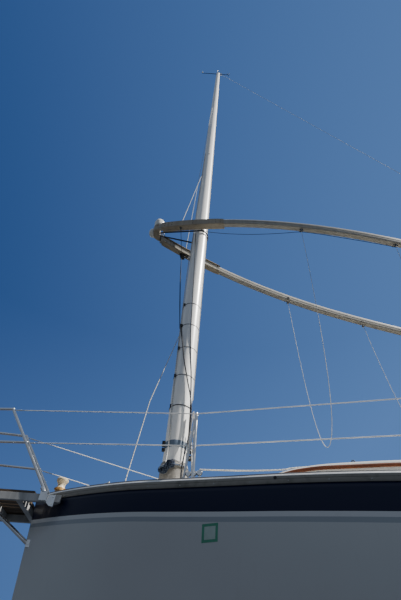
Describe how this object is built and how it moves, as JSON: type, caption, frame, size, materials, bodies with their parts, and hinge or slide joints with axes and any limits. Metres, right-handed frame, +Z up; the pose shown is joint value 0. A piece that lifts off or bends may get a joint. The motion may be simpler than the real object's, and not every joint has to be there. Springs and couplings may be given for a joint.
{
  "type": "cat-rigged sailing yacht with wishbone boom",
  "caption": "Beamy family sailing yacht afloat, with a free-standing mast far forward, a wishbone boom, a bow platform, a low cabin and a wheel-steered cockpit.",
  "frame": {"origin": "amidships on the centreline, at the waterline", "axes": "+X towards the bow, +Y to port, +Z up"},
  "size_m": [10.2427, 3.6352, 18.639],
  "materials": {
    "hull_gelcoat": "white gelcoat with a navy band at the deck edge",
    "deck_gelcoat": "cream gelcoat with non-slip panels",
    "trunk_gelcoat": "white gelcoat",
    "antifouling": "matt blue bottom paint",
    "teak": "oiled teak",
    "alloy": "anodised, weathered",
    "stainless": "polished tube",
    "bronze": "cast bronze",
    "spar_paint": "white paint, slightly chalky",
    "boot_cloth": "canvas boot",
    "line": "braided line",
    "smoked_acrylic": "smoked acrylic",
    "engine_paint": "grey enamel"
  },
  "bodies": {
    "boat": {"hull": "hull_gelcoat", "engine": "engine_paint", "keel": "antifouling", "shaft_strut": "bronze", "deck": "deck_gelcoat", "toe_rail_port": "alloy", "toe_rail_starboard": "alloy", "cabin_trunk": "trunk_gelcoat", "window_port_1": "smoked_acrylic", "window_port_2": "smoked_acrylic", "window_port_3": "smoked_acrylic", "window_starboard_1": "smoked_acrylic", "window_starboard_2": "smoked_acrylic", "window_starboard_3": "smoked_acrylic", "washboards": "teak", "eyebrow_port": "teak", "eyebrow_starboard": "teak", "grab_rail_port": "teak", "grab_rail_starboard": "teak", "cockpit": "deck_gelcoat", "pedestal": "trunk_gelcoat", "bow_platform": "stainless", "platform_slats": "teak", "platform_strut": "stainless", "bow_pulpit": "stainless", "bow_roller": "stainless", "windlass": "trunk_gelcoat", "guard_rail_port": "stainless", "guard_rail_starboard": "stainless", "stern_rail": "stainless", "sheet_track": "alloy", "winch_port": "stainless", "winch_starboard": "stainless", "mast": "spar_paint", "mast_boot": "boot_cloth", "masthead": "alloy"},
    "wishbone": {"wishbone_arm_port": "spar_paint", "wishbone_arm_starboard": "spar_paint", "wishbone_nose": "spar_paint", "wishbone_tail": "spar_paint", "choker": "line"},
    "rudder_body": {"rudder": "antifouling"},
    "wheel_body": {"steering_wheel": "stainless"},
    "propeller_body": {"propeller": "bronze"},
    "fore_hatch_body": {"fore_hatch": "smoked_acrylic"},
    "companion_hatch_body": {"companion_hatch": "teak"},
    "locker_port_body": {"locker_lid_port": "deck_gelcoat"},
    "locker_starboard_body": {"locker_lid_starboard": "deck_gelcoat"}
  },
  "joints": [
    {"name": "wishbone_swing", "type": "hinge", "parent": "boat", "child": "wishbone", "pos_m": [3.436, 0, 1.41], "axis": [-0.0137, 0, 0.9999], "range_deg": [-85, 85]},
    {"name": "rudder_turn", "type": "hinge", "parent": "boat", "child": "rudder_body", "pos_m": [-3.95, 0, 0], "axis": [0, 0, 1], "range_deg": [-35, 35]},
    {"name": "wheel_turn", "type": "hinge", "parent": "boat", "child": "wheel_body", "pos_m": [-3.44, 0, 1.45], "axis": [1, 0, 0], "range_deg": [-420, 420]},
    {"name": "propeller_spin", "type": "hinge", "parent": "boat", "child": "propeller_body", "pos_m": [-3.38, 0, -0.505], "axis": [0.9848, 0, 0.1736], "continuous": true},
    {"name": "fore_hatch_open", "type": "hinge", "parent": "boat", "child": "fore_hatch_body", "pos_m": [2.03, 0, 1.6683], "axis": [0, 1, 0], "range_deg": [0, 80]},
    {"name": "companion_slide", "type": "slide", "parent": "boat", "child": "companion_hatch_body", "axis": [1, 0, 0], "range_m": [0, 0.6]},
    {"name": "locker_port_open", "type": "hinge", "parent": "boat", "child": "locker_port_body", "pos_m": [-2.55, 0.925, 0.98], "axis": [-1, 0, 0], "range_deg": [0, 80]},
    {"name": "locker_starboard_open", "type": "hinge", "parent": "boat", "child": "locker_starboard_body", "pos_m": [-2.55, -0.925, 0.98], "axis": [1, 0, 0], "range_deg": [0, 80]}
  ],
  "couplings": [
    {"joint": "wheel_turn", "follows": "rudder_turn", "ratio": 12}
  ]
}
